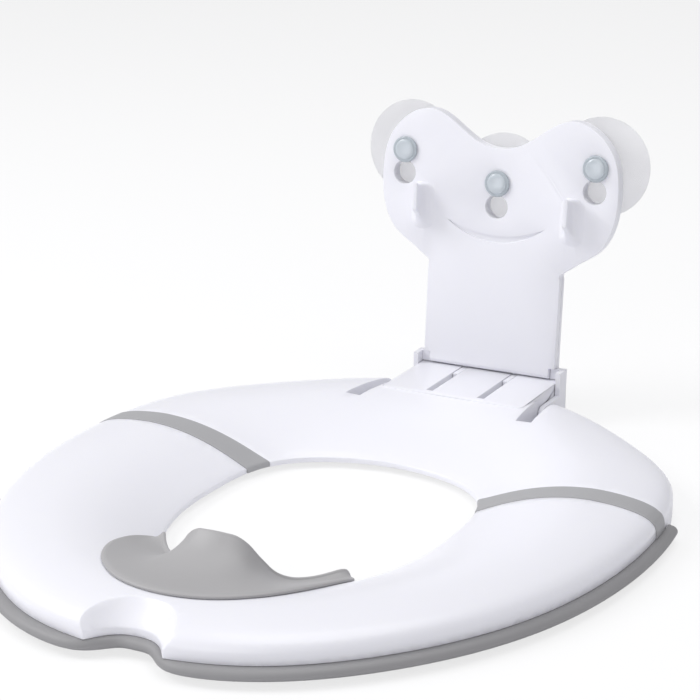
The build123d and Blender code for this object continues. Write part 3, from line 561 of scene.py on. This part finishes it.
def makeGuard():
    half = np.array(guardKeys)
    mirrored = (half * np.array([-1, 1, 1]) + np.array([2 * middle, 0, 0]))[-2::-1]
    rows = smoothLine(np.vstack([half, mirrored]), guard["along"])
    place, flange, top = rows[:, 0], rows[:, 1], rows[:, 2]
    t = np.interp(place, np.arange(len(knots)), knots / knots[-1])
    inner, way, width = around(t)
    thick, gap, foot = guard["thick"], guard["gap"], guard["foot"]
    flangeCol, topCol, widthCol = flange[:, None], top[:, None], width[:, None]
    # the sheet's upper face: seat's height plus a rise that grows with a power of the way to the edge
    b = np.concatenate([[0, 0.004, 0.012], np.linspace(0.025, 1, guard["across"])])
    across = flangeCol * (1 - b)
    seatZ = crownAt(across / widthCol) + gap
    lift = np.minimum(1, np.sqrt(np.clip((flangeCol - across) / (guard["edgeRun"] * thick), 0, 1)))
    rise = (topCol - crownAt(0) - gap - thick) * b ** guard["sweep"]
    upperZ = seatZ + thick * (guard["edgeShare"] + (1 - guard["edgeShare"]) * lift) + rise
    # over the rim in a half ellipse, down the skirt, round its foot and up inside
    bow = np.linspace(0, math.pi, guard["rimSteps"])[1:-1]
    rimX = -gap - thick / 2 * (1 - np.cos(bow)) + 0 * flangeCol
    rimZ = topCol + guard["rim"] * thick * np.sin(bow)
    down = np.linspace(0, 1, guard["skirtSteps"])
    skirtX = -gap - thick + 0 * flangeCol + 0 * down
    skirtZ = topCol + (foot - topCol) * down
    heel = np.linspace(0, math.pi, guard["heelSteps"])[1:-1]
    heelX = -gap - thick / 2 * (1 + np.cos(heel)) + 0 * flangeCol
    heelZ = foot - guard["heel"] * np.sin(heel) + 0 * flangeCol
    riseUp = np.linspace(0, 1, guard["insideSteps"])[:-1]
    innerTop = np.maximum(topCol - guard["inner"] * thick, crownAt(0) + gap)
    insideX = -gap + 0 * flangeCol + 0 * riseUp
    insideZ = foot + (innerTop - foot) * riseUp
    # back out under the flange, on the seat or a little under the upper face
    underX = across[:, ::-1]
    underZ = np.maximum(seatZ[:, ::-1], upperZ[:, ::-1] - guard["inner"] * thick)
    gridX = np.concatenate([across, rimX, skirtX, heelX, insideX, underX[:, :-1]], 1)
    gridZ = np.concatenate([upperZ, rimZ, skirtZ, heelZ, insideZ, underZ[:, :-1]], 1)
    xy = inner[:, None] + way[:, None] * gridX[..., None]
    pts = np.concatenate([xy, gridZ[..., None]], -1)
    obj = closedTube("splashGuard", pts, guard["sharp"])
    return dress(obj, "greyGuard", "guard", "splash_guard")


makeGuard()
print("splash guard")

# Board: leans back on its hinge; s runs up its front face, depth goes back through it
board = {"y": 163.8, "lean": 4.1, "footZ": 25.0}
lean = math.radians(board["lean"])
boardFoot = np.array([0, board["y"], board["footZ"]])
boardUp = np.array([0, math.sin(lean), math.cos(lean)])
boardBack = np.array([0, math.cos(lean), -math.sin(lean)])


def onBoard(x, s, depth):
    # the board's foot plus x sideways, s up its face and depth back through it
    x, s, depth = np.broadcast_arrays(x, s, depth)
    sideways = x[..., None] * np.array([1, 0, 0])
    return boardFoot + sideways + s[..., None] * boardUp + depth[..., None] * boardBack


knobs = {"left": (-63.5, 135.3), "middle": (0.0, 119.9), "right": (63.5, 135.3)}   # x and s of each head

# Suction cups: round head, neck and a shallow bell, each turned about its own axis
cup = {
    "headR": 8.2, "dome": 2.8, "neckR": 3.2, "start": 8.3, "deep": 3.2, "turns": 96,
    "headSteps": 34, "bellSteps": 60, "sharp": 60, "discShare": 0.75, "headDepth": -0.05,
    # head, from its raised disc out to the rim and back: shares of its radius and of its dome
    "head": [(0.35, -0.97), (0.62, -0.88), (0.74, -0.72), (0.78, -0.6), (0.88, -0.6), (0.97, -0.5),
             (1.0, -0.3), (0.97, -0.13), (0.9, -0.11)],
    # neck: how far it flares past its radius, and the depth of each ring from the head or from the bell
    "atHead": [(0.5, -0.3), (0.0, 0.2)], "atBell": [(0.0, -0.5), (0.6, 0.0)],
    # bell, front face outwards and rear face back in: radius in mm and share of its depth
    "bell": [(9.2, 0.02), (9.4, 0.2), (14.0, 0.3), (20.5, 0.42), (26.0, 0.66), (29.0, 0.88), (30.3, 0.96),
             (30.15, 1.0), (29.3, 0.98), (26.0, 0.84), (18.0, 0.62), (9.0, 0.5), (0, 0.46)],
}


def makeCup(side, name):
    # the profile of head, neck and bell, turned a full circle about the cup's axis
    headR, dome, neckR, start, deep = (cup[k] for k in ("headR", "dome", "neckR", "start", "deep"))
    keys = [(0, -dome)] + [(r * headR, d * dome) for r, d in cup["head"]]
    head = smoothLine(np.array(keys), cup["headSteps"])
    neck = [(neckR + r, d) for r, d in cup["atHead"]] + [(neckR + r, start + d) for r, d in cup["atBell"]]
    bell = smoothLine(np.array([(r, start + v * deep) for r, v in cup["bell"]]), cup["bellSteps"])
    line = np.vstack([head, neck, bell])
    turn = np.linspace(0, 2 * math.pi, cup["turns"], endpoint=False)[:, None]
    x0, s0 = knobs[side]
    radius, depth = line[:, 0], line[:, 1]
    pts = onBoard(x0 + radius * np.cos(turn), s0 + radius * np.sin(turn), depth + 0 * turn)
    obj = recalc(gridMesh(name, pts, closeU=True), cup["sharp"])
    dress(obj, "clearCup", "cup_" + side, "suction_cup_" + side)
    # the head's raised disc has a finish of its own, and its lower rim a darker finish: painted shade for the
    # shadowed gap round the head's edge
    spot = np.empty(len(obj.data.polygons) * 3)
    obj.data.polygons.foreach_get("center", spot)
    middleSpot = np.array([0, foldY, 0]) + onBoard(np.array(x0), np.array(s0), np.array(0.0))
    spot = spot.reshape(-1, 3) / mm - middleSpot
    depth, radius = spot @ boardBack, np.hypot(spot[:, 0], spot @ boardUp)
    for look in ("knobDisc", "knobRimPaintedShade"):
        obj.data.materials.append(finishes[look])
    onDisc = radius < cup["discShare"] * headR
    # faces of the head past the disc take the rim's darker finish, painted shade
    which = np.where(depth < cup["headDepth"], np.where(onDisc, 1, 2), 0)
    obj.data.polygons.foreach_set("material_index", which.astype(np.int32))
    return obj


for side in knobs:
    makeCup(side, "suctionCup" + side.capitalize())
print("suction cups")

bpy.context.scene.view_settings.view_transform = "Standard"
